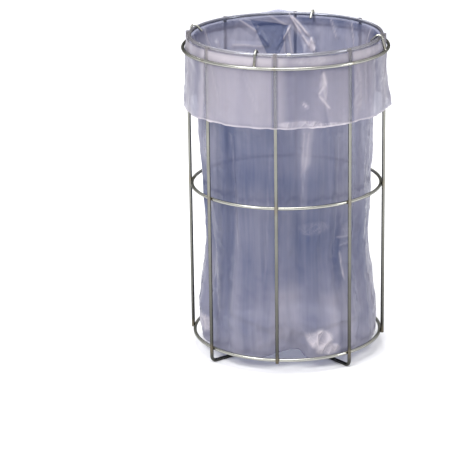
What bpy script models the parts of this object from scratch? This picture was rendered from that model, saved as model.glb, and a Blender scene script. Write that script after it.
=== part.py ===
"""Wire bag holder: a welded cage of stainless wire that holds a plastic liner bag open.

Three rings are welded inside eight uprights. Four of the uprights are straight. The other four are the
two ends of two long hoops, which run under the bag and cross in the middle, and stand the holder on
the floor. The bag hangs inside, with its mouth turned down over the top ring and the uprights. A loose
retaining ring drops over that cuff, and its four hooks hang it on the top ring.

Metres, +Z up. The origin is on the floor, under the middle of the rings. An angle round the holder is
measured from the front (-Y), towards +X. A route or a profile is a list of (distance from the axis,
height).
"""

import math

import bmesh
import bpy
from mathutils import Vector

# Wire. A wire is a prism with this many sides, whose corners lie on its true radius.
WIRE = 0.00635
WIRE_RADIUS = WIRE / 2
WIRE_SIDES = 8
WIRE_FLAT = WIRE_RADIUS * math.cos(math.pi / WIRE_SIDES)  # from the wire's middle to its flats
HOOK_WIRE_RADIUS = 0.0024

# Rings of the frame, at their wire's middle.
RING_RADIUS = 0.178
RING_STEPS = 48
BOTTOM_RING_Z = 0.028
MIDDLE_RING_Z = 0.322
TOP_RING_Z = 0.606

# Uprights, welded outside the rings. The weld sinks each upright into the rings a little.
UPRIGHTS = 8
WELD_SINK = 0.2 * WIRE
GAP = 0.0003
UPRIGHT_RADIUS = RING_RADIUS + WIRE - WELD_SINK
UPRIGHT_TOP_Z = TOP_RING_Z + WIRE_RADIUS
STRAIGHT_END_Z = BOTTOM_RING_Z - 1.5 * WIRE_RADIUS
FOOT_BEND = 0.010
HUMP_HALF_LENGTH = 0.045
HUMP_HEIGHT = WIRE + GAP

# Liner bag, at the middle of its film.
FILM = 0.0006
BAG_FLOOR_Z = 0.0146
BAG_CORNER = 0.025
BAG_FOOT_RADIUS = 0.170
BAG_WAIST = [(0.1725, 0.095), (0.165, 0.155), (0.1565, 0.225), (0.1590, 0.312), (0.1610, 0.430),
             (0.1650, 0.520), (0.1715, 0.575)]
FOLD = WIRE_RADIUS + GAP + FILM / 2  # the film's bend over the top ring
CUFF_RADIUS = UPRIGHT_RADIUS + WIRE_RADIUS + GAP + FILM / 2
CUFF_END_RADIUS = CUFF_RADIUS + 0.002
CUFF_END_Z = TOP_RING_Z - 0.132
TENT_ANGLE = math.radians(10)  # how far round the film takes to slope off an upright

# Retaining ring and its hooks.
RETAINER_Z = TOP_RING_Z - 0.022
RETAINER_RADIUS = CUFF_RADIUS + FILM / 2 + GAP + WIRE_RADIUS
HOOKS = 4
FIRST_HOOK_ANGLE = math.radians(-11.2)
HOOK_BEND = FOLD + FILM / 2 + GAP + HOOK_WIRE_RADIUS + GAP
HOOK_TIP = 0.014
HOOK_TIP_SLOPE = math.radians(45)


def arc(centre, radius, start, end, steps):
    """Points on a circle about (distance, height), from one angle to another."""
    angles = [start + (end - start) * i / steps for i in range(steps + 1)]
    return [(centre[0] + radius * math.cos(a), centre[1] + radius * math.sin(a)) for a in angles]


def smooth_step(t):
    t = min(max(t, 0.0), 1.0)
    return t * t * (3 - 2 * t)


def clear_scene():
    for obj in list(bpy.data.objects):
        bpy.data.objects.remove(obj)


def new_collection(name):
    collection = bpy.data.collections.new(name)
    bpy.context.scene.collection.children.link(collection)
    return collection


def make_material(name, colour, metallic, roughness):
    material = bpy.data.materials.new(name)
    material.use_nodes = True
    shader = material.node_tree.nodes["Principled BSDF"]
    shader.inputs["Base Color"].default_value = (*colour, 1)
    shader.inputs["Metallic"].default_value = metallic
    shader.inputs["Roughness"].default_value = roughness
    return material


def finish(obj, name, collection, material, sharp_degrees=40):
    """Name an object, put it in its collection, and shade it as a round piece."""
    obj.name = name
    for old in list(obj.users_collection):
        old.objects.unlink(obj)
    collection.objects.link(obj)
    obj.data.materials.clear()
    obj.data.materials.append(material)
    obj.data.shade_smooth()
    obj.data.set_sharp_from_angle(angle=math.radians(sharp_degrees))
    return obj


def make_ring(name, radius, height, wire_radius, collection, material):
    bpy.ops.mesh.primitive_torus_add(
        major_radius=radius, minor_radius=wire_radius, location=(0, 0, height),
        major_segments=RING_STEPS, minor_segments=WIRE_SIDES)
    return finish(bpy.context.object, name, collection, material)


def make_weld_seats(collection, material):
    """Rings that are a gap thicker than the frame's, which cut a seat for each ring in the uprights."""
    seats = []
    for name, height in (("top", TOP_RING_Z), ("middle", MIDDLE_RING_Z), ("bottom", BOTTOM_RING_Z)):
        seat = make_ring(f"seat_of_{name}_ring", RING_RADIUS, height, WIRE_RADIUS + GAP, collection, material)
        seat.hide_render = True
        seat.display_type = "WIRE"
        seats.append(seat)
    return seats


def cut_seats(obj, seats):
    for seat in seats:
        cut = obj.modifiers.new(seat.name, "BOOLEAN")
        cut.operation = "DIFFERENCE"
        cut.object = seat
    return obj


def make_straight_upright(name, angle, collection, material):
    length = UPRIGHT_TOP_Z - STRAIGHT_END_Z
    bpy.ops.mesh.primitive_cylinder_add(vertices=WIRE_SIDES, radius=WIRE_RADIUS, depth=length)
    upright = bpy.context.object
    upright.rotation_euler = (0, 0, angle)
    upright.location = (
        UPRIGHT_RADIUS * math.sin(angle), -UPRIGHT_RADIUS * math.cos(angle), STRAIGHT_END_Z + length / 2)
    return finish(upright, name, collection, material)


def bend_wire(name, route, wire_radius, angle, collection, material):
    """A wire bent in the upright plane at this angle, along a route of (distance, height) points.

    The curve is drawn flat, with its profile turned half a side so that its flats face along the
    plane, then stood up. Its end caps are welded on when it becomes a mesh.
    """
    curve = bpy.data.curves.new(name, "CURVE")
    curve.dimensions = "3D"
    curve.twist_mode = "Z_UP"
    curve.bevel_depth = wire_radius
    curve.bevel_resolution = (WIRE_SIDES - 4) // 2
    curve.use_fill_caps = True
    spline = curve.splines.new("POLY")
    spline.points.add(len(route) - 1)
    for point, (distance, height) in zip(spline.points, route):
        point.co = (distance, height, 0, 1)
        point.tilt = math.pi / WIRE_SIDES
    drawn = bpy.data.objects.new(name + "_line", curve)
    drawn.rotation_euler = (math.pi / 2, 0, angle - math.pi / 2)
    collection.objects.link(drawn)
    bpy.context.view_layer.update()

    mesh = bpy.data.meshes.new_from_object(drawn.evaluated_get(bpy.context.evaluated_depsgraph_get()))
    welded = bmesh.new()
    welded.from_mesh(mesh)
    bmesh.ops.remove_doubles(welded, verts=welded.verts, dist=0.00001)
    bmesh.ops.recalc_face_normals(welded, faces=welded.faces)
    welded.to_mesh(mesh)
    welded.free()
    wire = bpy.data.objects.new(name, mesh)
    collection.objects.link(wire)
    wire.matrix_world = drawn.matrix_world
    bpy.data.objects.remove(drawn)
    return finish(wire, name, collection, material)


def hoop_route(hump):
    """Down one upright, across the floor and up the other, with a hump in the middle if asked."""
    bend_centre = (UPRIGHT_RADIUS - FOOT_BEND, WIRE_FLAT + FOOT_BEND)
    half = [(UPRIGHT_RADIUS, UPRIGHT_TOP_Z)]
    half += arc(bend_centre, FOOT_BEND, 0, -math.pi / 2, 6)
    if hump:
        steps = 8
        for i in range(steps):
            t = i / steps
            half.append((HUMP_HALF_LENGTH * (1 - t), WIRE_FLAT + HUMP_HEIGHT * smooth_step(1.3 * t)))
    other_half = [(-distance, height) for distance, height in reversed(half)]
    middle = [(0, WIRE_FLAT + HUMP_HEIGHT)] if hump else []
    return half + middle + other_half


def hook_route():
    """From the top of the retaining ring, up and over the cuff on the top ring, to a tip inside the bag.

    The leg points at the middle of the retaining ring's wire, and is a tangent of the bend.
    """
    ring, top = Vector((RETAINER_RADIUS, RETAINER_Z)), Vector((RING_RADIUS, TOP_RING_Z))
    across = top - ring
    lean = math.atan2(across.y, across.x) - math.asin(HOOK_BEND / across.length)
    foot = ring + (WIRE_RADIUS + GAP) * Vector((math.cos(lean), math.sin(lean)))
    bend = arc(top, HOOK_BEND, lean - math.pi / 2, math.pi - HOOK_TIP_SLOPE, 7)
    tip = (bend[-1][0] - HOOK_TIP * math.cos(HOOK_TIP_SLOPE), bend[-1][1] - HOOK_TIP * math.sin(HOOK_TIP_SLOPE))
    return [tuple(foot), *bend, tip]


def bag_profiles():
    """The film from the middle of its floor to the cuff's edge, as (between uprights, over an upright)."""
    top_ring = (RING_RADIUS, TOP_RING_Z)
    inside = [(0, BAG_FLOOR_Z), (0.065, BAG_FLOOR_Z), (0.115, BAG_FLOOR_Z)]
    corner = (BAG_FOOT_RADIUS - BAG_CORNER, BAG_FLOOR_Z + BAG_CORNER)
    inside += arc(corner, BAG_CORNER, -math.pi / 2, 0, 4)
    inside += BAG_WAIST
    inside += arc(top_ring, FOLD, math.pi, math.pi / 2, 3)
    cuff = [(CUFF_RADIUS, RETAINER_Z), (CUFF_RADIUS, RETAINER_Z - 2 * WIRE),
            (CUFF_RADIUS + 0.001, (RETAINER_Z + CUFF_END_Z) / 2), (CUFF_END_RADIUS, CUFF_END_Z)]
    between = arc(top_ring, FOLD, math.pi / 2, math.radians(18), 2)[1:]
    over = [(RING_RADIUS + 0.004, TOP_RING_Z + FOLD), (CUFF_RADIUS, TOP_RING_Z + FOLD)]
    return inside + between + cuff, inside + over + cuff


def turned_surface(mesh, profile, steps):
    """Spin a profile about the axis. Its first point is on the axis, and becomes one vertex."""
    turned = bmesh.new()
    points = [turned.verts.new((0, -distance, height)) for distance, height in profile]
    edges = [turned.edges.new(pair) for pair in zip(points, points[1:])]
    bmesh.ops.spin(
        turned, geom=points + edges, cent=(0, 0, 0), axis=(0, 0, 1), angle=2 * math.pi, steps=steps)
    bmesh.ops.remove_doubles(turned, verts=turned.verts, dist=0.00001)
    bmesh.ops.recalc_face_normals(turned, faces=turned.faces)
    turned.to_mesh(mesh)
    turned.free()


def make_bag(name, collection, material):
    """The bag: a turned film, whose cuff is then drawn out in a tent over the top of each upright."""
    between, over = bag_profiles()
    mesh = bpy.data.meshes.new(name)
    turned_surface(mesh, between, RING_STEPS)
    tents = [(Vector(a), Vector(b)) for a, b in zip(between, over) if (Vector(a) - Vector(b)).length > 1e-6]
    spacing = 2 * math.pi / UPRIGHTS
    for vertex in mesh.vertices:
        place = Vector((math.hypot(vertex.co.x, vertex.co.y), vertex.co.z))
        angle = math.atan2(vertex.co.x, -vertex.co.y)
        off = abs((angle + spacing / 2) % spacing - spacing / 2)
        for low, high in tents:
            if (place - low).length < 1e-6:
                place = low.lerp(high, max(0.0, 1 - off / TENT_ANGLE))
                vertex.co = (place.x * math.sin(angle), -place.x * math.cos(angle), place.y)
                break
    bag = bpy.data.objects.new(name, mesh)
    collection.objects.link(bag)
    film = bag.modifiers.new("film", "SOLIDIFY")
    film.thickness = FILM
    film.offset = 0
    return finish(bag, name, collection, material)


def main():
    clear_scene()
    holder = new_collection("bag_holder")
    cutters = new_collection("cutters")
    steel = make_material("stainless_wire", (0.62, 0.61, 0.57), 1.0, 0.28)
    film = make_material("bag_film", (0.62, 0.62, 0.74), 0.0, 0.30)

    make_ring("top_ring", RING_RADIUS, TOP_RING_Z, WIRE_RADIUS, holder, steel)
    make_ring("middle_ring", RING_RADIUS, MIDDLE_RING_Z, WIRE_RADIUS, holder, steel)
    make_ring("bottom_ring", RING_RADIUS, BOTTOM_RING_Z, WIRE_RADIUS, holder, steel)
    seats = make_weld_seats(cutters, steel)
    for i, side in enumerate(("front", "right", "back", "left")):
        angle = i * math.pi / 2
        cut_seats(make_straight_upright(f"upright_{side}", angle, holder, steel), seats)
    for name, hump, angle in (("leg_hoop_under", False, math.pi / 4), ("leg_hoop_over", True, 3 * math.pi / 4)):
        cut_seats(bend_wire(name, hoop_route(hump), WIRE_RADIUS, angle, holder, steel), seats)

    make_bag("liner_bag", holder, film)

    make_ring("retaining_ring", RETAINER_RADIUS, RETAINER_Z, WIRE_RADIUS, holder, steel)
    for i, side in enumerate(("front", "right", "back", "left")):
        angle = FIRST_HOOK_ANGLE + i * 2 * math.pi / HOOKS
        bend_wire(f"hook_{side}", hook_route(), HOOK_WIRE_RADIUS, angle, holder, steel)


main()
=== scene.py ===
# %% [markdown]
# # A wire bag holder, with its liner bag
#
# The holder is a cage of stainless wire, a little over 600 mm tall. Three rings are welded inside eight
# uprights. Four of the uprights are the ends of two hoops, which carry the holder on the floor. A thin
# plastic bag hangs inside, with its mouth turned down over the top ring. A loose ring with four hooks
# drops over that cuff.
#
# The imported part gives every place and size. This lesson models the wire finely with Blender's own
# operators, and lets a cloth simulation hang the bag.

import math
import random

import bmesh
import bpy
import numpy as np
from mathutils import Matrix, Vector
from mathutils.bvhtree import BVHTree
from mathutils.geometry import delaunay_2d_cdt


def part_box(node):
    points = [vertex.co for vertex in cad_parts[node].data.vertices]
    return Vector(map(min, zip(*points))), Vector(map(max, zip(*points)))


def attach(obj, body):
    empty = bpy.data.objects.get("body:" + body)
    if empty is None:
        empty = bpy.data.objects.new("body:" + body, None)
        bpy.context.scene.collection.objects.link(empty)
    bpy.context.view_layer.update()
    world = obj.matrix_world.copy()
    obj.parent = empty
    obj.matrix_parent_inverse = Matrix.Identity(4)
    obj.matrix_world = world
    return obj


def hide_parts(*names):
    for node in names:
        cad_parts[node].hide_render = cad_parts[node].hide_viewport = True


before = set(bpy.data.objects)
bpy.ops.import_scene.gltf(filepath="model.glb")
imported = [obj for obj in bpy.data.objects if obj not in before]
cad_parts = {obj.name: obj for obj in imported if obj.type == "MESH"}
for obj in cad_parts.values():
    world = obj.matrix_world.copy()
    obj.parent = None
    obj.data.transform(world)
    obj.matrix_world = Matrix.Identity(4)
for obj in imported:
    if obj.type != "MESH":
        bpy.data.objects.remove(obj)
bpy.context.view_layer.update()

# %% [markdown]
# ## Sizes
#
# A ring's box is two radii wide and one wire high, so its box gives both. An upright's box gives how
# far out it stands. Everything below is placed from these few values, so nothing has to be fitted.

# %% Read the sizes from the frame
def ring_size(node):
    """A ring's radius, height and wire radius, at the middle of its wire."""
    low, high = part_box(node)
    wire = (high.z - low.z) / 2
    return high.x - wire, (high.z + low.z) / 2, wire


RING, TOP, WIRE = ring_size("top_ring")
MIDDLE = ring_size("middle_ring")[1]
BOTTOM = ring_size("bottom_ring")[1]
RETAINER, RETAINER_Z, _ = ring_size("retaining_ring")
upright_low, upright_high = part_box("upright_right")
UPRIGHT = (upright_low.x + upright_high.x) / 2
GAP = 0.0003  # left between two wires, or a wire and the film
print(f"ring {RING:.4f}, wire {WIRE:.5f}, rings at {BOTTOM:.3f}, {MIDDLE:.3f} and {TOP:.3f}")
print(f"uprights at {UPRIGHT:.4f}, retaining ring {RETAINER:.4f} at {RETAINER_Z:.3f}")


# %% Places round the holder
def around(angle, radius, z=0.0):
    """A point at this angle from the front, towards +X."""
    return Vector((radius * math.sin(angle), -radius * math.cos(angle), z))


QUARTERS = {side: i * math.pi / 2 for i, side in enumerate(("front", "right", "back", "left"))}
print("the right upright stands at", [round(x, 4) for x in around(QUARTERS["right"], UPRIGHT)])

# %% [markdown]
# ## Camera
#
# The holder is seen from a little above, from a good distance, so its rings are shallow ellipses. The
# camera comes early, because every look at the work goes through it. Its lens is long and its tilt is
# small. A slight roll is part of the view.

# %% Put the camera in place
CAMERA_TURN = math.radians(7.7)  # from the front, towards +X
CAMERA_PLACE = (-0.1172, -3.818, 1.4545)  # before it is turned
CAMERA_TILT = math.radians(90 - 17.697)  # up from straight down
CAMERA_ROLL = -0.0155

camera_data = bpy.data.cameras.new("camera")
camera_data.lens = 168.5
camera_data.clip_end = 50
camera = bpy.data.objects.new("camera", camera_data)
bpy.context.scene.collection.objects.link(camera)
turned = Matrix.Rotation(CAMERA_TURN, 4, "Z")
placed = Matrix.Translation(CAMERA_PLACE)
tilted = Matrix.Rotation(CAMERA_TILT, 4, "X")
rolled = Matrix.Rotation(CAMERA_ROLL, 4, "Z")
camera.matrix_world = turned @ placed @ tilted @ rolled
bpy.context.scene.camera = camera
print("camera at", [round(x, 3) for x in camera.matrix_world.translation])

# %% [markdown]
# ## Operators by place
#
# An operator acts on what is selected. These few helpers select in code what a hand would pick with
# the mouse, by where it is.

# %% Helpers for selecting
def start_clean():
    if bpy.context.mode != "OBJECT":
        bpy.ops.object.mode_set(mode="OBJECT")
    bpy.ops.object.select_all(action="DESELECT")


def edit(obj):
    start_clean()
    obj.select_set(True)
    bpy.context.view_layer.objects.active = obj
    bpy.ops.object.mode_set(mode="EDIT")


def pick_vertices(obj, wanted):
    """In edit mode, select the vertices whose place passes the test."""
    mesh = bmesh.from_edit_mesh(obj.data)
    bpy.ops.mesh.select_all(action="DESELECT")
    bpy.ops.mesh.select_mode(type="VERT")
    for vertex in mesh.verts:
        vertex.select = wanted(obj.matrix_world @ vertex.co)
    mesh.select_flush(True)
    bmesh.update_edit_mesh(obj.data)


# %% [markdown]
# A finished piece has its place in its mesh, so its object stays at the origin. A piece that repeats
# round the holder is modelled once. Each copy has its own mesh, turned about the holder's axis.

# %% Helpers for finishing
def settle(obj, name, smooth_degrees=50):
    """Leave edit mode, put the place into the mesh, and shade round surfaces smooth."""
    start_clean()
    obj.select_set(True)
    bpy.context.view_layer.objects.active = obj
    bpy.ops.object.transform_apply(location=True, rotation=True, scale=True)
    bpy.ops.object.shade_smooth_by_angle(angle=math.radians(smooth_degrees))
    obj.name = obj.data.name = name
    return obj


def apply_all(obj):
    start_clean()
    obj.select_set(True)
    bpy.context.view_layer.objects.active = obj
    for modifier in list(obj.modifiers):
        bpy.ops.object.modifier_apply(modifier=modifier.name)


def copy_to(obj, name, matrix):
    """A copy with its own mesh, which is moved by this matrix."""
    copy = obj.copy()
    copy.data = obj.data.copy()
    copy.data.transform(matrix)
    copy.name = copy.data.name = name
    bpy.context.scene.collection.objects.link(copy)
    return copy


def copy_round(first, name):
    """The front piece, and a copy of it at each other side of the holder, by side."""
    copies = {side: copy_to(first, f"{name}_{side}", Matrix.Rotation(angle, 4, "Z"))
              for side, angle in QUARTERS.items() if side != "front"}
    return {"front": first, **copies}


def dress(obj, material, body, slot, *nodes):
    """Give a piece its material and its body, and hide the nodes that it stands for. The slot is not used.
    """
    obj.data.materials.clear()
    obj.data.materials.append(material)
    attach(obj, body)
    if nodes:
        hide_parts(*nodes)
    return obj


# %% [markdown]
# ## Shader helpers
#
# Each finish below is a small network of nodes. A few helpers add a node and join it up in one line,
# so that a material reads from top to bottom like a recipe.

# %% Helpers for materials
class Recipe:
    """A material's nodes. Each call adds one node and returns its first output."""

    def __init__(self, name):
        self.material = bpy.data.materials.new(name)
        self.material.use_nodes = True
        self.tree = self.material.node_tree
        self.tree.nodes.clear()
        self.out = self.tree.nodes.new("ShaderNodeOutputMaterial")

    def add(self, kind, settings=(), **inputs):
        node = self.tree.nodes.new("ShaderNode" + kind)
        for key, value in dict(settings).items():
            setattr(node, key, value)
        for key, value in inputs.items():
            place = int(key[1:]) if key[0] == "_" else key.replace("_", " ")
            self.join(value, node.inputs[place])
        return node

    def join(self, value, socket):
        if isinstance(value, bpy.types.Node):
            value = value.outputs[0]
        if isinstance(value, bpy.types.NodeSocket):
            self.tree.links.new(value, socket)
        else:
            socket.default_value = value

    def math(self, operation, a, b=0.0):
        return self.add("Math", {"operation": operation}, _0=a, _1=b)

    def fit(self, value, low, high, to_low=0.0, to_high=1.0):
        return self.add("MapRange", {}, Value=value, From_Min=low, From_Max=high,
                        To_Min=to_low, To_Max=to_high)

    def blend(self, factor, a, b):
        """Mix two colours."""
        node = self.add("Mix", {"data_type": "RGBA"})
        for value, socket in ((factor, node.inputs[0]), (a, node.inputs[6]), (b, node.inputs[7])):
            self.join(value, socket)
        return node.outputs[2]

    def finish(self, surface):
        self.join(surface, self.out.inputs["Surface"])
        return self.material


# %% [markdown]
# ## Stainless wire
#
# Wire is drawn through a die, which leaves fine lines along it and a satin shine. Lines along an
# upright run up it, and lines along a ring run round it. So the pattern is stretched along Z for the
# first, and along the angle about the middle for the second. A spot weld leaves a faint straw tint.
#
# A round bright wire on a white floor would look white all over. Its edges are given a dark tint. A
# straight wire is given painted shade, a darker base colour than a ring's and darker still towards the
# floor, and painted light towards its top. This stands in for the darker surroundings that steel
# reflects, so that it stands out from the floor as steel does.

# %% Wire materials
LINES_ACROSS = 900
LINES_ALONG = 12
STRAW = (0.20, 0.165, 0.11, 1)
DARK_EDGE = (0.20, 0.20, 0.19, 1)


def weld_closeness(r, runs_round, angle, z, weld_heights):
    """1 at a weld and 0 away from it: every eighth of a ring, or at some heights on a straight wire."""
    if runs_round:
        return r.fit(r.math("PINGPONG", angle, math.pi / 8), 0.0, 0.035, 1.0, 0.0)
    distances = [r.math("ABSOLUTE", r.math("SUBTRACT", z, height)) for height in weld_heights]
    nearest = distances[0]
    for distance in distances[1:]:
        nearest = r.math("MINIMUM", nearest, distance)
    return r.fit(nearest, 0.004, 0.014, 1.0, 0.0)


def wire_material(name, runs_round, base, roughness, weld_heights=()):
    r = Recipe(name)
    place = r.add("TexCoord").outputs["Object"]
    x, y, z = (r.add("SeparateXYZ", {}, _0=place).outputs[i] for i in range(3))
    angle = r.math("ARCTAN2", x, y)
    blotches = r.add("TexNoise", {}, Vector=place, Scale=22.0, Detail=4.0).outputs["Fac"]
    shade = r.fit(blotches, 0.3, 0.7, 0.86, 1.06)
    if runs_round:
        distance = r.add("VectorMath", {"operation": "LENGTH"}, _0=r.add("CombineXYZ", {}, X=x, Y=y))
        lines_at = r.add("CombineXYZ", {}, X=r.math("MULTIPLY", distance.outputs["Value"], LINES_ACROSS),
                         Y=r.math("MULTIPLY", r.math("MULTIPLY", angle, RING), LINES_ALONG),
                         Z=r.math("MULTIPLY", z, LINES_ACROSS))
    else:
        lines_at = r.add("Mapping", {}, Vector=place, Scale=(LINES_ACROSS, LINES_ACROSS, LINES_ALONG))
        # Painted shade towards the floor and painted light towards the top.
        shade = r.math("MULTIPLY", shade, r.fit(z, 0.03, 0.60, 0.34, 1.60))
    lines = r.add("TexNoise", {}, Vector=lines_at, Scale=1.0, Detail=3.0).outputs["Fac"]
    tinted = r.math("MULTIPLY", weld_closeness(r, runs_round, angle, z, weld_heights), 0.45)
    colour = r.blend(tinted, r.add("VectorMath", {"operation": "SCALE"}, _0=base, Scale=shade), STRAW)
    rough = r.fit(lines, 0.3, 0.7, roughness - 0.07, roughness + 0.09)
    bump = r.add("Bump", {}, Strength=0.25, Distance=0.00012, Height=lines)
    steel = r.add("BsdfPrincipled", {}, Base_Color=colour, Metallic=1.0, Roughness=rough, Normal=bump,
                  Specular_Tint=DARK_EDGE)
    return r.finish(steel)


ROUND_STEEL = wire_material("drawn_wire_round", True, (0.44, 0.44, 0.40), 0.16)
# The straight wires are given a darker base than the rings, which is painted shade on the same steel.
STRAIGHT_STEEL = wire_material("drawn_wire_straight", False, (0.235, 0.235, 0.208), 0.16,
                               (BOTTOM, MIDDLE, TOP))
HOOK_STEEL = wire_material("drawn_wire_hook", False, (0.30, 0.30, 0.27), 0.16, (RETAINER_Z + WIRE,))
print("wire materials:", [steel.name for steel in (ROUND_STEEL, STRAIGHT_STEEL, HOOK_STEEL)])

# %% [markdown]
# ## Rings
#
# A ring is a length of wire bent round and butt-welded. A torus is the same shape. The weld leaves a
# small collar, which is made by picking the few sections at the joint and fattening them along their
# normals. Each ring's joint is at another angle, and only the top ring's is at the front.

# %% Make the rings
WIRE_SIDES = 20
COLLAR_HALF_WIDTH = 0.0035
COLLAR_LAYERS = ((1.6, 0.00025), (1.0, 0.0004), (0.4, 0.0004))  # share of its width, and how much it swells


def make_ring(name, radius, z, joint_degrees, body, slot, node):
    start_clean()
    bpy.ops.mesh.primitive_torus_add(major_radius=radius, minor_radius=WIRE, location=(0, 0, z),
                                     major_segments=320, minor_segments=WIRE_SIDES)
    ring = bpy.context.object
    edit(ring)
    joint_angle = math.radians(joint_degrees)
    joint = around(joint_angle, radius, z)
    wire_heading = around(joint_angle + math.pi / 2, 1)
    for share, swell in COLLAR_LAYERS:
        reach = share * COLLAR_HALF_WIDTH
        pick_vertices(ring, lambda p: (p - joint).length < WIRE + 0.0002 + reach
                      and abs((p - joint).dot(wire_heading)) < reach)
        bpy.ops.transform.shrink_fatten(value=swell)
    settle(ring, name)
    return dress(ring, ROUND_STEEL, body, slot, node)


make_ring("ring_top", RING, TOP, 7.7, "frame", "frame_wire", "top_ring")
make_ring("ring_middle", RING, MIDDLE, 63, "frame", "frame_wire", "middle_ring")
make_ring("ring_bottom", RING, BOTTOM, 152, "frame", "frame_wire", "bottom_ring")
retainer = make_ring("ring_retaining", RETAINER, RETAINER_Z, 201, "retainer", "ring_wire", "retaining_ring")
print("ring vertices:", len(retainer.data.vertices))

# %% [markdown]
# ## Bent wires
#
# Every other wire is a round section pushed along a route, as a bender does it. A filled circle is
# extruded for each straight run, and spun about a centre for each bend. The end that is being pushed
# stays selected all the way, and at the end the faces are turned to point out.

# %% A wire pushed along a route
def push_wire(name, radius, start, heading, steps, angle):
    """Steps are ("run", length) or ("bend", radius, angle, pieces), at this angle round the holder.

    The route starts at a distance and a height. Its heading is an angle from outwards towards upwards,
    and a positive bend turns towards upwards.
    """
    start_clean()
    bpy.ops.mesh.primitive_circle_add(vertices=WIRE_SIDES, radius=radius, fill_type="NGON")
    wire = bpy.context.object
    point, direction = Vector((start[0], 0, start[1])), heading
    wire.data.transform(Matrix.Translation(point) @ Matrix.Rotation(math.pi / 2 - direction, 4, "Y"))
    edit(wire)
    bpy.ops.mesh.select_all(action="SELECT")
    for kind, size, *bend in steps:
        ahead = Vector((math.cos(direction), 0, math.sin(direction)))
        if kind == "run":
            bpy.ops.mesh.extrude_region_move(TRANSFORM_OT_translate={"value": ahead * size})
            point += ahead * size
        else:
            bend_angle, pieces = bend
            side = Vector((-ahead.z, 0, ahead.x)) * math.copysign(size, bend_angle)
            centre = point + side
            bpy.ops.mesh.spin(steps=pieces, angle=bend_angle, center=centre, axis=(0, 1, 0))
            point = centre + Matrix.Rotation(-bend_angle, 3, "Y") @ (point - centre)
            direction += bend_angle
    bpy.ops.mesh.select_all(action="SELECT")
    bpy.ops.mesh.normals_make_consistent(inside=False)
    start_clean()
    wire.data.transform(Matrix.Rotation(angle - math.pi / 2, 4, "Z"))
    ends = wire.modifiers.new("cut_ends", "BEVEL")
    ends.width = radius * 0.18
    ends.segments = 2
    ends.limit_method = "ANGLE"
    ends.angle_limit = math.radians(60)
    apply_all(wire)
    return settle(wire, name), point


# %% Straight uprights
UPRIGHT_FOOT = upright_low.z
UPRIGHT_HEAD = upright_high.z
UPRIGHT_PIECES = 12

upright_runs = [("run", (UPRIGHT_HEAD - UPRIGHT_FOOT) / UPRIGHT_PIECES)] * UPRIGHT_PIECES
first_upright, _ = push_wire("wire_upright_front", WIRE, (UPRIGHT, UPRIGHT_FOOT), math.pi / 2,
                             upright_runs, 0)
for side, upright in copy_round(first_upright, "wire_upright").items():
    dress(upright, STRAIGHT_STEEL, "frame", "frame_wire", f"upright_{side}")
print("upright length:", round(UPRIGHT_HEAD - UPRIGHT_FOOT, 4))

# %% [markdown]
# ## Leg hoops
#
# Two of the wires are uprights at both ends and a leg between them. Each comes down outside the bottom
# ring, turns in under the bag and runs flat across the floor. Where they cross, one is humped over the
# other by two pairs of shallow bends.

# %% Make the leg hoops
FOOT_BEND = 0.010
HUMP_TURN = math.radians(21.5)
HUMP_BEND = 0.0475
HUMP_TOP = 0.010


def hoop_steps(humped):
    drop = UPRIGHT_HEAD - WIRE - FOOT_BEND
    straight = [("run", drop / UPRIGHT_PIECES)] * UPRIGHT_PIECES
    foot = [("bend", FOOT_BEND, -math.pi / 2, 8)]
    reach = UPRIGHT - FOOT_BEND
    if not humped:
        middle = [("run", reach), ("run", reach)]
    else:
        slope = 2 * HUMP_BEND * math.sin(HUMP_TURN)
        flat = reach - HUMP_TOP - slope
        up = [("bend", HUMP_BEND, -HUMP_TURN, 5), ("bend", HUMP_BEND, HUMP_TURN, 5)]
        back = [("bend", HUMP_BEND, HUMP_TURN, 5), ("bend", HUMP_BEND, -HUMP_TURN, 5)]
        middle = [("run", flat), *up, ("run", 2 * HUMP_TOP), *back, ("run", flat)]
    return straight + foot + middle + foot + straight


for name, humped, angle in (("under", False, math.pi / 4), ("over", True, 3 * math.pi / 4)):
    hoop, end = push_wire(f"wire_leg_hoop_{name}", WIRE, (UPRIGHT, UPRIGHT_HEAD), -math.pi / 2,
                          hoop_steps(humped), angle)
    dress(hoop, STRAIGHT_STEEL, "frame", "frame_wire", f"leg_hoop_{name}")
    print(name, "ends at", [round(x, 4) for x in end])

# %% [markdown]
# ## Hooks
#
# A hook is a short thinner wire, welded on top of the retaining ring. Its leg leans in to the top
# ring, bends round it and ends in a tip inside the bag. The leg is a tangent of the bend, so its lean
# comes from the two rings' places.

# %% Make the hooks
HOOK_WIRE = 0.0024
HOOK_TIP = 0.014
HOOK_TIP_SLOPE = math.radians(45)
HOOK_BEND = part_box("hook_back")[1].z - TOP - HOOK_WIRE
FIRST_HOOK_ANGLE = math.radians(-11.2)
HOOK_ROOT = WIRE * 0.8  # from the middle of the retaining ring's wire

to_ring = Vector((RING - RETAINER, TOP - RETAINER_Z))
lean = math.atan2(to_ring.y, to_ring.x) - math.asin(HOOK_BEND / to_ring.length)
hook_start = (RETAINER + HOOK_ROOT * math.cos(lean), RETAINER_Z + HOOK_ROOT * math.sin(lean))
hook_leg = math.sqrt(to_ring.length ** 2 - HOOK_BEND ** 2) - HOOK_ROOT
hook_steps = [("run", hook_leg), ("bend", HOOK_BEND, math.pi + HOOK_TIP_SLOPE - lean, 12), ("run", HOOK_TIP)]
first_hook, _ = push_wire("wire_hook_front", HOOK_WIRE, hook_start, lean, hook_steps, FIRST_HOOK_ANGLE)
for side, hook in copy_round(first_hook, "wire_hook").items():
    dress(hook, HOOK_STEEL, "retainer", "hook_wire", f"hook_{side}")
print("hook leans", round(math.degrees(lean) - 90, 1), "degrees in")

# %% [markdown]
# ## Weld nuggets
#
# A spot weld squeezes a little metal out between the two wires. Each one is a sphere pressed flat into
# an oval. One is modelled, and copies go to every crossing. The eight on a ring are joined.

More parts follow.
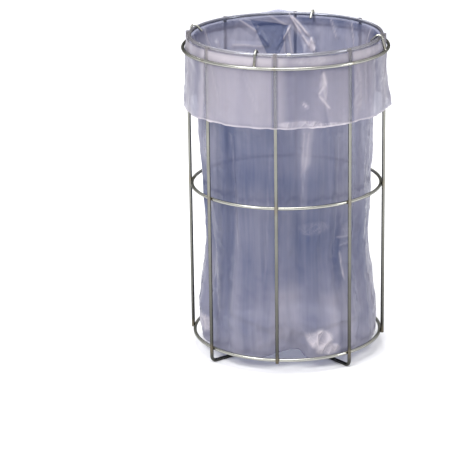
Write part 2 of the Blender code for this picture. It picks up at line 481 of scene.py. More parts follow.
# %% Make the welds
RING_NUGGET = (WIRE * 0.72, WIRE * 0.5, WIRE * 0.72)
HOOK_NUGGET = (HOOK_WIRE * 1.25, HOOK_WIRE * 1.15, HOOK_WIRE * 0.8)


def make_nuggets(name, size, angles, radius, z):
    """One oval of metal at each of these angles, all joined in one piece."""
    start_clean()
    bpy.ops.mesh.primitive_uv_sphere_add(segments=16, ring_count=8, radius=1.0, location=(0, 0, 0))
    pattern = bpy.context.object
    pattern.scale = size
    settle(pattern, "nugget")
    copies = []
    for angle in angles:
        moved = Matrix.Translation(around(angle, radius, z)) @ Matrix.Rotation(angle, 4, "Z")
        copies.append(copy_to(pattern, name, moved))
    bpy.data.objects.remove(pattern)
    start_clean()
    for copy in copies:
        copy.select_set(True)
    bpy.context.view_layer.objects.active = copies[0]
    bpy.ops.object.join()
    copies[0].name = copies[0].data.name = name
    print(name, "has", len(angles), "nuggets")
    return copies[0]


eighths = [i * math.pi / 4 for i in range(8)]
for name, height in (("top", TOP), ("middle", MIDDLE), ("bottom", BOTTOM)):
    welds = make_nuggets(f"welds_{name}", RING_NUGGET, eighths, (RING + UPRIGHT) / 2, height)
    dress(welds, ROUND_STEEL, "frame", "frame_wire")
hook_angles = [angle + FIRST_HOOK_ANGLE for angle in QUARTERS.values()]
welds = make_nuggets("welds_hooks", HOOK_NUGGET, hook_angles, RETAINER, RETAINER_Z + WIRE * 0.85)
dress(welds, ROUND_STEEL, "retainer", "hook_wire")

# %% [markdown]
# ## The bag's film
#
# The liner is a flat tube, 610 mm wide and 914 mm long, closed at its bottom. It is wider than the
# rings, so it hangs in folds. The sheet is laid out as columns round the tube and rows along it, and
# each row follows a profile: up the cuff, over the top ring, down inside and in across the bottom.

# %% The film's profile
FLAT_WIDTH = 0.610
FLAT_LENGTH = 0.914
FILM_GAP = GAP + 0.0003
FOLD = WIRE + FILM_GAP  # the fold's radius over the top ring
CUFF = UPRIGHT + WIRE + FILM_GAP  # how far out the cuff hangs
CUFF_END_Z = TOP - 0.132
FLOOR = 0.0150  # the bag's bottom, on the leg hoops
CUFF_POINTS = 4
FOLD_STEPS = 8


def arc(centre, radius, start, end, steps):
    angles = [start + (end - start) * i / steps for i in range(steps + 1)]
    return [(centre[0] + radius * math.cos(a), centre[1] + radius * math.sin(a)) for a in angles]


def film_profile():
    """From the cuff's edge to the middle of the bottom, as (distance, height)."""
    cuff = [(CUFF + 0.0055, CUFF_END_Z), (CUFF + 0.002, CUFF_END_Z + 0.06), (CUFF, RETAINER_Z - 0.012),
            (CUFF, RETAINER_Z)]
    fold = arc((RING, TOP), FOLD, math.radians(18), math.pi, FOLD_STEPS)
    waist = [(0.1725, 0.580), (0.1640, 0.520), (0.1590, 0.440), (0.1610, 0.312), (0.1600, 0.215),
             (0.1680, 0.150), (0.1765, 0.090)]
    corner = arc((0.1625, FLOOR + 0.011), 0.011, 0, -math.pi / 2, 4)
    return np.array(cuff + fold + waist + corner + [(0.012, FLOOR + 0.002)])


profile = film_profile()
run = np.concatenate([[0], np.cumsum(np.linalg.norm(np.diff(profile, axis=0), axis=1))])
print("profile length:", round(float(run[-1]), 4), "of a flat length of", FLAT_LENGTH)

# %% Rows and columns
COLUMNS = 160
RIM_START = run[CUFF_POINTS]
RIM_END = run[CUFF_POINTS + FOLD_STEPS]
RIM = (RIM_START + RIM_END) / 2  # how far down the sheet it lies on the ring
INSIDE = 0.16  # past this, the sheet is inside the cage
along = np.concatenate([(0, 0.002, 0.005), np.linspace(0.011, RIM_START - 0.003, 17),
                        np.linspace(RIM_START, RIM_END, 9), np.linspace(RIM_END + 0.007, run[-1], 90)])
ROWS = len(along)
ROW_RADIUS = np.interp(along, run, profile[:, 0])
ROW_HEIGHT = np.interp(along, run, profile[:, 1])
COLUMN_TURN = np.linspace(0, 2 * math.pi, COLUMNS, endpoint=False)
row_of = np.repeat(np.arange(ROWS), COLUMNS)
print("rows:", ROWS, "rim at", round(float(RIM), 4), "m down the sheet")


def tube_places(radius, height):
    """Every vertex's place, row by row, from a radius and a height for each row and column."""
    radius = np.broadcast_to(radius, (ROWS, COLUMNS))
    height = np.broadcast_to(height, (ROWS, COLUMNS))
    places = np.stack([radius * np.sin(COLUMN_TURN), -radius * np.cos(COLUMN_TURN), height], axis=-1)
    return places.reshape(-1, 3)


# %% [markdown]
# The sheet remembers where each point lies on the flat film: its angle round the tube, how far it is
# down from the cuff's edge, and both together as a UV map in metres. Creases and tone are drawn there.

# %% Make the sheet
def make_film(places):
    faces = [(j * COLUMNS + i, j * COLUMNS + (i + 1) % COLUMNS, (j + 1) * COLUMNS + (i + 1) % COLUMNS,
              (j + 1) * COLUMNS + i) for j in range(ROWS - 1) for i in range(COLUMNS)]
    mesh = bpy.data.meshes.new("film")
    mesh.from_pydata(places.tolist(), [], faces)
    mesh.update()
    turn, down = np.tile(COLUMN_TURN, ROWS), np.repeat(along, COLUMNS)
    for name, values in (("turn_sin", np.sin(turn)), ("turn_cos", np.cos(turn)), ("down", down)):
        mesh.attributes.new(name, "FLOAT", "POINT").data.foreach_set("value", values.astype(np.float32))
    uv = mesh.uv_layers.new(name="flat")
    for i, face in enumerate(faces):
        last = (i % COLUMNS) == COLUMNS - 1
        for loop, vertex in zip(mesh.polygons[i].loop_indices, face):
            column = vertex % COLUMNS or (COLUMNS if last else 0)
            uv.data[loop].uv = (column / COLUMNS * 2 * FLAT_WIDTH, along[vertex // COLUMNS])
    film = bpy.data.objects.new("film", mesh)
    bpy.context.scene.collection.objects.link(film)
    return film


def read_places(mesh):
    places = np.zeros(len(mesh.vertices) * 3, np.float32)
    mesh.vertices.foreach_get("co", places)
    return places.reshape(-1, 3).astype(float)


def write_places(mesh, places):
    mesh.vertices.foreach_set("co", places.astype(np.float32).ravel())
    mesh.update()


# %% Soft steps
def rise(value, start, length):
    """0 up to the start, a soft step over this length, and 1 from there on."""
    t = np.clip((value - start) / length, 0.0, 1.0)
    return t * t * (3 - 2 * t)


def fall(value, start, length):
    """1 up to the start, a soft step over this length, and 0 from there on."""
    return 1 - rise(value, start, length)


print("halfway up a soft step:", rise(0.5, 0, 1))

# %% [markdown]
# The hand opens the bag and lets it fall, so it starts with a few soft pleats that run down it, and a
# little noise that tells the cloth which way to buckle. Each pleat has an angle at its top and at its
# bottom, a depth and a width.

# %% Pleats to start from
PLEATS = [  # degrees at the top and at the bottom, depth, half width in degrees
    (172, 196, 0.020, 8), (205, 212, 0.012, 7), (236, 250, 0.014, 9), (14, 10, 0.006, 7),
    (58, 63, 0.008, 9), (122, 116, 0.012, 8), (140, 146, 0.012, 9), (290, 300, 0.012, 9),
    (330, 322, 0.008, 7), (36, 30, 0.004, 6),
]
row_down = along[:, None]
on_inner_wall = rise(row_down, 0.15, 0.10) * fall(row_down, 0.70, 0.10)
pleated = np.zeros((ROWS, COLUMNS))
for at_top, at_bottom, depth, width in PLEATS:
    centre = np.radians(at_top + (at_bottom - at_top) * rise(row_down, 0.15, 0.50))
    off = np.abs((COLUMN_TURN[None, :] - centre + math.pi) % (2 * math.pi) - math.pi)
    pleated -= depth * on_inner_wall * np.maximum(0, 1 - off / np.radians(width)) ** 1.2
noise = np.random.default_rng(3).normal(0, 0.0012, (ROWS, COLUMNS))
off_rim = (row_down > 0.165) | (row_down < 0.11)
start = tube_places(ROW_RADIUS[:, None] + pleated + noise * off_rim, ROW_HEIGHT[:, None])
film = make_film(start)
print("film faces:", len(film.data.polygons))

# %% [markdown]
# ## Hanging the bag
#
# The cloth is told its flat shape, a tube 1220 mm round, through a shape key. The rows that bend over
# the top ring, or lie under the retaining ring, are pinned. The bottom of the bag rests on the leg
# hoops. The simulation runs in a few short spells, and after each one the film is put back inside the
# cage and off the floor, which stands in for its contact with the wires.

# %% The cloth's flat shape
FLAT_RADIUS = FLAT_WIDTH / math.pi
BOTTOM_DOWN = 0.78  # past this, the sheet is the bag's bottom
to_flat = fall(along, 0.68, 0.12)
flat_radius = ROW_RADIUS * (1 - to_flat) + FLAT_RADIUS * to_flat
flat = tube_places(flat_radius[:, None], (-along * FLAT_LENGTH / run[-1])[:, None])
on_bottom = along[row_of] > BOTTOM_DOWN
flat[on_bottom] = start[on_bottom]
print("flat tube:", round(FLAT_RADIUS * 2 * math.pi, 3), "m round")

# %% Keep the film in the cage
FILM_CLEAR = 0.0012
AT_RING = RING - WIRE - FILM_CLEAR
AT_UPRIGHT = UPRIGHT - WIRE - FILM_CLEAR
CUFF_MOST = CUFF + 0.010
MOST_MOVE = np.where(along > INSIDE, 0.007, 0.008)
PINNED = (ROW_HEIGHT > RETAINER_Z - 0.004) & (along < 0.26) | (ROW_HEIGHT > TOP - 0.004)


def inner_limit(height):
    """How far out the film may hang: inside the rings, and inside the uprights between them."""
    from_ring = np.min([np.abs(height - z) for z in (BOTTOM, MIDDLE, TOP)], axis=0)
    return AT_RING + (AT_UPRIGHT - AT_RING) * rise(from_ring, 0.010, 0.030)


def from_nearest_upright(turn):
    """A distance round the holder, in metres."""
    return np.abs((turn + math.pi / 8) % (math.pi / 4) - math.pi / 8) * UPRIGHT


def keep_in_cage(places):
    """The inner film stays inside the rings, the cuff outside the uprights, and all off the floor."""
    moved = places - start
    length = np.linalg.norm(moved, axis=1)
    places = start + moved * np.minimum(1, MOST_MOVE[row_of] / np.maximum(length, 1e-9))[:, None]
    distance = np.hypot(places[:, 0], places[:, 1])
    turn = np.arctan2(places[:, 0], -places[:, 1])
    inner = along[row_of] > INSIDE
    cuff_least = CUFF - 0.0022 * rise(from_nearest_upright(turn), 0.004, 0.020)
    low = np.where(inner, 0.0, cuff_least)
    high = np.where(inner, inner_limit(places[:, 2]), CUFF_MOST)
    held = np.where(PINNED[row_of], distance, np.clip(distance, low, high))
    places[:, :2] *= (held / np.maximum(distance, 1e-6))[:, None]
    places[:, 2] = np.where(inner, np.maximum(places[:, 2], FLOOR), places[:, 2])
    return places


print("pinned rows:", int(PINNED.sum()))


# %% Hang the film as cloth
SPELLS = 3
SPELL_FRAMES = 12


def add_cloth(film, frames):
    film.shape_key_add(name="now")
    key = film.shape_key_add(name="flat")
    key.data.foreach_set("co", flat.astype(np.float32).ravel())
    group = film.vertex_groups.new(name="pinned")
    for row in np.flatnonzero(PINNED):
        group.add(list(range(row * COLUMNS, (row + 1) * COLUMNS)), 1.0, "REPLACE")
    cloth = film.modifiers.new("cloth", "CLOTH")
    settings = cloth.settings
    settings.quality = 5
    settings.mass = 0.05
    settings.air_damping = 4
    settings.tension_stiffness = settings.compression_stiffness = 12
    settings.shear_stiffness = 4
    settings.bending_stiffness = 0.02
    settings.vertex_group_mass = "pinned"
    settings.rest_shape_key = key
    cloth.collision_settings.use_collision = False
    cloth.point_cache.frame_start = 1
    cloth.point_cache.frame_end = frames
    return cloth


def hang(film, frames):
    """Run the cloth for this many frames and return every point's place."""
    cloth = add_cloth(film, frames)
    scene = bpy.context.scene
    for number in range(1, frames + 1):
        scene.frame_set(number)
    seen = film.evaluated_get(bpy.context.evaluated_depsgraph_get())
    places = read_places(seen.data)
    film.modifiers.remove(cloth)
    film.shape_key_clear()
    film.vertex_groups.clear()
    scene.frame_set(1)
    return places


for spell in range(SPELLS):
    places = keep_in_cage(hang(film, SPELL_FRAMES))
    write_places(film.data, places)
    moved = np.linalg.norm(places - start, axis=1)
    print("spell", spell, "mean move", round(float(moved.mean()) * 1000, 1), "mm")

# %% [markdown]
# ## Film
#
# Polythene is clear, and milky where it is stressed or creased. Where it is smooth it is drawn dark
# blue, which is painted shade: the dark inside of the bag, seen through the film. Two values on the
# sheet drive it. The first goes from the blue to the pale colour, and holds the film's own haze together
# with painted light and shade. The second, "cover", goes from clear to opaque. Faint bands and fine
# lines run down the wall, as the film was drawn in its making. They fade out on the bag's bottom, where
# they would meet in a star.

# %% Film material
# The blue is painted shade: the bag's dark inside, seen through the film.
PAINTED_SHADE_BLUE_FILM = (0.058, 0.077, 0.168, 1)
MILKY_FILM = (0.68, 0.625, 0.665, 1)
CLEAR_FILM = (0.80, 0.82, 0.92, 1)


def film_material():
    r = Recipe("polythene_film")
    milk_and_painted_light = r.add("Attribute", {"attribute_name": "milk_and_painted_light"}).outputs["Fac"]
    cover = r.add("Attribute", {"attribute_name": "cover"}).outputs["Fac"]
    down = r.add("Attribute", {"attribute_name": "down"}).outputs["Fac"]
    on_wall = r.fit(down, 0.70, 0.76, 1.0, 0.0)
    place = r.add("TexCoord").outputs["Object"]
    blotches = r.add("TexNoise", {}, Vector=place, Scale=7.0, Detail=3.0).outputs["Fac"]
    flat_place = r.add("UVMap", {"uv_map": "flat"})
    bands_at = r.add("Mapping", {}, Vector=flat_place, Scale=(20, 2.0, 1))
    bands = r.add("TexNoise", {}, Vector=bands_at, Scale=1.0, Detail=3.0, Distortion=0.5).outputs["Fac"]
    lines_at = r.add("Mapping", {}, Vector=flat_place, Scale=(150, 9, 1))
    lines = r.add("TexNoise", {}, Vector=lines_at, Scale=1.0, Detail=2.0).outputs["Fac"]
    # Paleness, with the painted light and shade that it carries, and the film's own blotches, bands and
    # lines.
    haze_and_painted_light = r.math("ADD", milk_and_painted_light, r.fit(blotches, 0.35, 0.65, -0.04, 0.05))
    haze_and_painted_light = r.math("ADD", haze_and_painted_light, r.math("MULTIPLY", r.fit(bands, 0.36, 0.66, -0.06, 0.10), on_wall))
    haze_and_painted_light = r.math("ADD", haze_and_painted_light, r.math("MULTIPLY", r.fit(lines, 0.4, 0.7, -0.012, 0.02), on_wall))
    colour = r.blend(r.add("Clamp", {}, Value=haze_and_painted_light), PAINTED_SHADE_BLUE_FILM, MILKY_FILM)
    bump = r.add("Bump", {}, Strength=0.4, Distance=0.004, Height=r.math("MULTIPLY", bands, on_wall))
    body = r.add("BsdfPrincipled", {}, Base_Color=colour, Roughness=0.2, Normal=bump)
    glow = r.add("BsdfTranslucent", {}, Color=colour, Normal=bump)
    film = r.add("MixShader", {}, _0=0.25, _1=body, _2=glow)
    clear = r.add("BsdfTransparent", {}, Color=CLEAR_FILM)
    return r.finish(r.add("MixShader", {}, _0=cover, _1=clear, _2=film))


POLYTHENE = film_material()
print("film nodes:", len(POLYTHENE.node_tree.nodes))

# %% [markdown]
# The last row of the sheet is merged into one point, so the bottom is closed. The film is smoothed once
# before its creases are made.

# %% Close the bottom and smooth the film
edit(film)
mesh = bmesh.from_edit_mesh(film.data)
bpy.ops.mesh.select_all(action="DESELECT")
for vertex in mesh.verts:
    vertex.select = vertex.index >= (ROWS - 1) * COLUMNS
mesh.select_flush(True)
bpy.ops.mesh.merge(type="CENTER")
start_clean()
fine = film.modifiers.new("fine", "SUBSURF")
fine.levels = fine.render_levels = 1
apply_all(film)
film.name = "liner_bag_film"
print("film faces after smoothing:", len(film.data.polygons))

# %% [markdown]
# Where the film is crumpled, or has a long crease that is easily seen, its faces are cut finer first.

# %% Cut the crumpled zones finer
def read_values(mesh, name):
    values = np.zeros(len(mesh.vertices), np.float32)
    mesh.attributes[name].data.foreach_get("value", values)
    return values.astype(float)


def read_sheet(mesh):
    """Each point's angle round the holder, and its distance from the cuff's edge."""
    turn = np.arctan2(read_values(mesh, "turn_sin"), read_values(mesh, "turn_cos"))
    return turn % (2 * math.pi), read_values(mesh, "down")


FINE_ZONES = [  # from and to degrees, from and to metres down the sheet, cuts
    (162, 222, 0.138, 0.224, 2), (0, 42, -1, 0.016, 2), (20, 34, 0.024, 0.110, 2),
    (14, 42, 0.676, 0.734, 2), (15, 64, 0.455, 0.520, 1), (12, 24, 0.285, 0.365, 1),
]
for from_turn, to_turn, from_down, to_down, cuts in FINE_ZONES:
    turn, down = read_sheet(film.data)
    in_turn = (np.degrees(turn) - from_turn) % 360 < (to_turn - from_turn) % 360
    in_zone = in_turn & (down > from_down) & (down < to_down)
    edit(film)
    mesh = bmesh.from_edit_mesh(film.data)
    bpy.ops.mesh.select_mode(type="FACE")
    bpy.ops.mesh.select_all(action="DESELECT")
    for face in mesh.faces:
        face.select = all(in_zone[vertex.index] for vertex in face.verts)
    bpy.ops.mesh.subdivide(number_cuts=cuts)
    start_clean()
for polygon in film.data.polygons:
    polygon.use_smooth = True
turn, down = read_sheet(film.data)
u = turn / (2 * math.pi) * 2 * FLAT_WIDTH
print("film triangles:", sum(len(polygon.vertices) - 2 for polygon in film.data.polygons))

# %% [markdown]
# ## Creases
#
# Thin polythene doesn't drape like cloth. It breaks into flat facets with sharp edges. To make them,
# points are scattered over the flat sheet, each is lifted or sunk by chance, and the sheet between
# three neighbours is a flat triangle. Each point of the film moves out or in to that surface. Large
# facets and small ones are added up.

# %% Facets
STAGGER = 0.42  # how far a scattered point may be off its grid, as a share of one step


def facets(seed, across, lengthways):
    """A height from -1 to 1 at every point of the film, linear on triangles of about this size."""
    chance = random.Random(seed)
    around_count = max(3, round(2 * FLAT_WIDTH / across))
    step_u, step_v = 2 * FLAT_WIDTH / around_count, lengthways
    rows = int(run[-1] / step_v) + 3
    points, heights = [], []
    for j in range(-1, rows):
        line = [((i + 0.5 * (j % 2) + chance.uniform(-STAGGER, STAGGER)) * step_u,
                 (j + chance.uniform(-STAGGER, STAGGER)) * step_v, chance.uniform(-1, 1))
                for i in range(around_count)]
        for i in range(-2, around_count + 3):
            lap, at = divmod(i, around_count)
            points.append(Vector((line[at][0] + lap * 2 * FLAT_WIDTH, line[at][1])))
            heights.append(line[at][2])
    flat_points, _, triangles, *_ = delaunay_2d_cdt(points, [], [], 0, 1e-6)
    solid = [Vector((p.x, p.y, h)) for p, h in zip(flat_points, heights)]
    tree = BVHTree.FromPolygons(solid, triangles)
    down_ray = Vector((0, 0, -1))
    values = np.zeros(len(u))
    for i in range(len(u)):
        hit = tree.ray_cast(Vector((u[i], down[i], 5)), down_ray)[0]
        values[i] = hit.z if hit else 0.0
    return values


large = facets(11, 0.085, 0.110)
middling = facets(5, 0.034, 0.060)
small = facets(23, 0.016, 0.022)
tiny = facets(31, 0.0095, 0.013)
print("large facets from", round(large.min(), 2), "to", round(large.max(), 2))


# %% Sharp edges of the facets
def sharpness(values):
    """From 0 to 1, how sharply the film is broken at each point: facets' edges have most."""
    edges = np.zeros(len(film.data.edges) * 2, np.int64)
    film.data.edges.foreach_get("vertices", edges)
    a, b = edges.reshape(-1, 2).T
    total = np.bincount(a, values[b], len(values)) + np.bincount(b, values[a], len(values))
    neighbours = np.bincount(np.concatenate([a, b]), minlength=len(values))
    return np.clip(np.abs(values - total / neighbours) / 0.12, 0, 1)


tiny_edges = sharpness(tiny)
print("mean sharpness:", round(float(tiny_edges.mean()), 3))

# %% [markdown]
# The film hangs free below the rim, and on the cuff below the retaining ring. It is most broken in the
# bag's mouth, at its bottom, and along the cuff's edge.

# %% Zones of the film
wall = rise(down, RIM + 0.012, 0.050)
on_cuff = fall(down, RIM, 0.006)
loose = wall + fall(down, 0.075, 0.030)
mouth = rise(down, RIM + 0.010, 0.030) * fall(down, 0.33, 0.15)
bottom = rise(down, 0.665, 0.060)
hem = fall(down, 0.004, 0.035)
lift = loose * (0.0011 * large + 0.0006 * middling) + mouth * (0.0032 * large + 0.0012 * middling)
lift += small * (0.0002 * loose + 0.0012 * bottom + 0.0007 * hem) + bottom * 0.003 * middling
print("facets lift the film by up to", round(lift.max() * 1000, 1), "mm")


def on_sheet(degrees, distance):
    """A place on the flat sheet, from an angle round the holder and a distance from the cuff's edge."""
    return np.array((math.radians(degrees) / math.pi * FLAT_WIDTH, distance))


def around_from(place):
    """How far each point of the film is from this place, round the sheet and down it."""
    return (u - place[0] + FLAT_WIDTH) % (2 * FLAT_WIDTH) - FLAT_WIDTH, down - place[1]


# %% [markdown]
# Some creases are long enough to be seen one by one: where the bag was pulled over the rim, where it
# was folded in its box, and where a hand pinched it. Each is a line on the flat sheet, between an angle
# and a distance down from the cuff's edge and another such pair, with a height and a width. Its sharp
# line is whitened, partly as stressed film is and partly as a painted highlight, and one side of it is
# painted lighter, as if it caught more light.

# %% The list of long creases
# The whitening is partly that of stressed film and partly a painted highlight.
CREASES = [  # from (degrees, metres) to (degrees, metres), height, width, whitening
    ((182, 0.146), (169, 0.187), 0.0050, 0.006, 0.70), ((169, 0.187), (166, 0.215), 0.0050, 0.006, 0.80),
    ((184, 0.141), (175, 0.183), 0.0040, 0.006, 0.80), ((175, 0.183), (166, 0.215), 0.0030, 0.006, 0.45),
    ((184, 0.172), (181, 0.230), 0.0020, 0.004, 0.35), ((187, 0.180), (186, 0.228), 0.0020, 0.004, 0.30),
    ((218, 0.146), (204, 0.178), 0.0060, 0.012, 0.45), ((204, 0.178), (196, 0.208), 0.0040, 0.010, 0.40),
    ((198, 0.144), (184, 0.168), 0.0030, 0.008, 0.30), ((184, 0.168), (187, 0.195), 0.0030, 0.006, 0.35),
    ((182, 0.165), (192, 0.214), 0.0020, 0.005, 0.30), ((223, 0.196), (197, 0.205), 0.0030, 0.008, 0.35),
    ((156, 0.146), (149, 0.190), 0.0035, 0.010, 0.30), ((139, 0.146), (132, 0.215), 0.0045, 0.012, 0.35),
    ((250, 0.146), (239, 0.225), 0.0050, 0.014, 0.30), ((268, 0.146), (276, 0.250), 0.0045, 0.012, 0.30),
    ((117, 0.146), (122, 0.225), 0.0045, 0.012, 0.35), ((236, 0.180), (222, 0.290), 0.0040, 0.012, 0.20),
    ((18, 0.290), (16, 0.360), 0.0030, 0.010, 0.10), ((21, 0.290), (15, 0.440), 0.0030, 0.012, 0.10),
    ((45, 0.525), (48, 0.590), 0.0020, 0.005, 0.40), ((43, 0.300), (40, 0.560), 0.0030, 0.016, 0.08),
    ((42, 0.498), (60, 0.502), 0.0012, 0.004, 0.18), ((44, 0.515), (62, 0.512), 0.0012, 0.004, 0.12),
    ((355, 0.320), (350, 0.600), 0.0030, 0.018, 0.08), ((325, 0.300), (331, 0.560), 0.0040, 0.016, 0.12),
    ((300, 0.480), (318, 0.690), 0.0035, 0.014, 0.12), ((27, 0.101), (28, 0.077), 0.0018, 0.006, 0.40),
    ((28, 0.077), (24, 0.060), 0.0018, 0.005, 0.35), ((24, 0.060), (31, 0.032), 0.0018, 0.005, 0.40),
    ((15, 0.049), (18, 0.038), 0.0010, 0.004, 0.50), ((57, 0.120), (57, 0.020), 0.0020, 0.008, 0.20),
    ((66, 0.110), (66, 0.030), 0.0020, 0.008, 0.15), ((84, 0.125), (84, 0.010), 0.0025, 0.010, 0.08),
    ((340, 0.110), (352, 0.020), 0.0020, 0.009, 0.04), ((318, 0.120), (326, 0.030), 0.0025, 0.009, 0.05),
    ((203, 0.110), (203, 0.020), 0.0020, 0.009, 0.15), ((148, 0.120), (148, 0.020), 0.0020, 0.009, 0.15),
    ((105, 0.320), (110, 0.600), 0.0040, 0.016, 0.12), ((215, 0.320), (209, 0.560), 0.0040, 0.016, 0.12),
    ((255, 0.300), (262, 0.620), 0.0040, 0.016, 0.12), ((160, 0.380), (154, 0.640), 0.0040, 0.016, 0.12),
]
print("long creases:", len(CREASES))

# %% Fold the long creases
LINE_WIDTH = 0.0020
whitening_and_painted_light = np.zeros(len(u))
for a, b, height, width, white in CREASES:
    a, b = on_sheet(*a), on_sheet(*b)
    length = np.linalg.norm(b - a)
    heading = (b - a) / length
    off_u, off_v = around_from(a)
    t = off_u * heading[0] + off_v * heading[1]
    side = off_u * heading[1] - off_v * heading[0]
    in_length = rise(t, -0.002, 0.008) * fall(t, 0.75 * length + 0.002, 0.25 * length)
    held = 0.25 + 0.75 * rise(np.abs(down - RIM), 0, 0.030)
    lift -= height * held * in_length * np.maximum(0, 1 - np.abs(side) / width)
    # The sharp line: whitening and a painted highlight. The next line paints one side lighter, as painted
    # light.
    whitening_and_painted_light += white * in_length * np.exp(-(side / LINE_WIDTH) ** 2)
    whitening_and_painted_light += 0.30 * white * in_length * np.exp(-np.abs(side) / (1.6 * width)) * (side > 0)
print("most whitened:", round(float(whitening_and_painted_light.max()), 2))

# %% [markdown]
# A few spots are crumpled: the pinched end of the pleat in the mouth, the gathered corner at the bottom,
# and parts of the cuff's edge. A spot is an oval on the flat sheet, filled with tiny facets. It is
# whitened as crumpled film is, and its facets and their sharp edges are given painted highlights.

# %% Crumpled spots
SPOTS = [  # degrees, metres down, half width, half height, lift, whitening
    (27, 0.692, 0.036, 0.022, 0.0042, 0.80), (33, 0.714, 0.034, 0.014, 0.0036, 0.70),
    (13, 0.008, 0.050, 0.008, 0.0030, 0.50), (27, 0.004, 0.040, 0.005, 0.0020, 0.45),
    (27, 0.072, 0.010, 0.035, 0.0022, 0.30), (25, 0.474, 0.044, 0.016, 0.0010, 0.11),
    (52, 0.484, 0.026, 0.016, 0.0010, 0.13), (168, 0.201, 0.010, 0.016, 0.0030, 0.45),
    (50, 0.060, 0.012, 0.060, 0.0016, 0.12), (22, 0.122, 0.050, 0.010, 0.0004, 0.12),
    (340, 0.120, 0.060, 0.010, 0.0004, 0.10), (66, 0.121, 0.030, 0.010, 0.0004, 0.10),
    (150, 0.010, 0.050, 0.008, 0.0030, 0.35), (262, 0.008, 0.060, 0.008, 0.0030, 0.35),
    (112, 0.700, 0.040, 0.020, 0.0050, 0.30), (205, 0.705, 0.050, 0.022, 0.0050, 0.30),
    (292, 0.695, 0.040, 0.020, 0.0050, 0.35),
]
for degrees, distance, half_width, half_height, height, white in SPOTS:
    off_u, off_v = around_from(on_sheet(degrees, distance))
    spot = fall(np.hypot(off_u / half_width, off_v / half_height), 0.55, 0.45)
    lift += height * spot * tiny
    # Whitening, with painted highlights that change facet by facet and are brightest on the facets' edges.
    whitening_and_painted_light += white * spot * (0.45 + 0.25 * tiny + 0.80 * tiny_edges)
print("crumpled spots:", len(SPOTS))

# %% [markdown]
# Other places differ in tone: where two layers lie together, which is the film's own haze, and where
# the film stands at another slant, which is painted light and shade. The darkest, in the bag's mouth, is
# painted shade. Each is a convex outline on the flat sheet, with a change of milkiness. Its edge is soft
# over a few millimetres or centimetres.

# %% The list of patches
PATCHES = [  # corners (degrees, metres), change of milkiness, softness
    # The first patch, much darker, is painted shade inside the bag's mouth.
    (((208, 0.154), (184, 0.167), (187, 0.200), (194, 0.245), (203, 0.190)), -0.60, 0.004),
    (((222, 0.143), (183, 0.141), (184, 0.166), (204, 0.158)), 0.12, 0.006),
    (((250, 0.147), (220, 0.147), (204, 0.178), (200, 0.200), (246, 0.200)), 0.12, 0.006),
    (((224, 0.197), (197, 0.206), (200, 0.270), (232, 0.270)), 0.16, 0.005),
    (((182, 0.146), (169, 0.187), (166, 0.216), (175, 0.184)), 0.10, 0.003),
    (((182, 0.172), (176, 0.190), (172, 0.230), (180, 0.230)), -0.20, 0.006),
    (((16, 0.280), (24, 0.280), (21, 0.350), (16, 0.370)), 0.20, 0.012),
    (((168, 0.147), (112, 0.147), (120, 0.260), (160, 0.260)), 0.10, 0.014),
    (((43, 0.0), (43, 0.100), (27, 0.104), (26, 0.075), (30, 0.0)), 0.20, 0.006),
    (((28, 0.0), (26, 0.120), (8, 0.120), (6, 0.0)), 0.06, 0.020),
    (((366, 0.0), (366, 0.135), (310, 0.135), (310, 0.0)), 0.26, 0.020),
    (((62, 0.0), (62, 0.135), (46, 0.135), (46, 0.0)), 0.18, 0.015),
    (((62, 0.300), (100, 0.300), (100, 0.660), (62, 0.660)), 0.06, 0.030),
    (((-4, 0.590), (16, 0.590), (18, 0.700), (-4, 0.700)), 0.13, 0.035),
    (((31, 0.610), (48, 0.600), (52, 0.690), (34, 0.690)), 0.13, 0.030),
    (((64, 0.250), (64, 0.400), (-64, 0.400), (-64, 0.250)), -0.09, 0.040),
]
print("patches:", len(PATCHES))

# %% Patches of tone
tone_and_painted_shading = np.zeros(len(u))
for outline, change, soft in PATCHES:
    corners = [on_sheet(*corner) for corner in outline]
    middle = sum(corners) / len(corners)
    here = np.stack(around_from(middle), axis=1)
    depth = np.full(len(u), 1.0)
    for a, b in zip(corners, corners[1:] + corners[:1]):
        edge = (b - a) / np.linalg.norm(b - a)
        inward = np.array((-edge[1], edge[0]))
        inward *= math.copysign(1, inward @ (middle - a))
        depth = np.minimum(depth, (here - (a - middle)) @ inward)
    tone_and_painted_shading += change * rise(depth, -0.5 * soft, soft)
print("tone from", round(tone_and_painted_shading.min(), 2), "to", round(tone_and_painted_shading.max(), 2))
print("lift from", round(lift.min() * 1000, 1), "to", round(lift.max() * 1000, 1), "mm")

# %% [markdown]
# Now the film moves. It is lifted outwards, or along its normal on the bottom, and kept inside the rings.
# The corner round the bag's bottom isn't even: it hangs off the floor at the front, beside a crumpled
# corner that touches it.

# %% Move the film
BOTTOM_FLAT = 0.75  # past this, the sheet lies level
normals = np.zeros(len(film.data.vertices) * 3, np.float32)
film.data.vertices.foreach_get("normal", normals)
places = read_places(film.data)


def flat_distance(points):
    return np.hypot(points[:, 0], points[:, 1])


def set_distance(points, distance):
    points[:, :2] *= (distance / np.maximum(flat_distance(points), 1e-6))[:, None]


def bell(degrees, width):
    """1 at this angle round the holder, falling to 0 on both sides."""
    off = (np.degrees(turn) - degrees + 180) % 360 - 180
    return np.exp(-(off / width) ** 2)


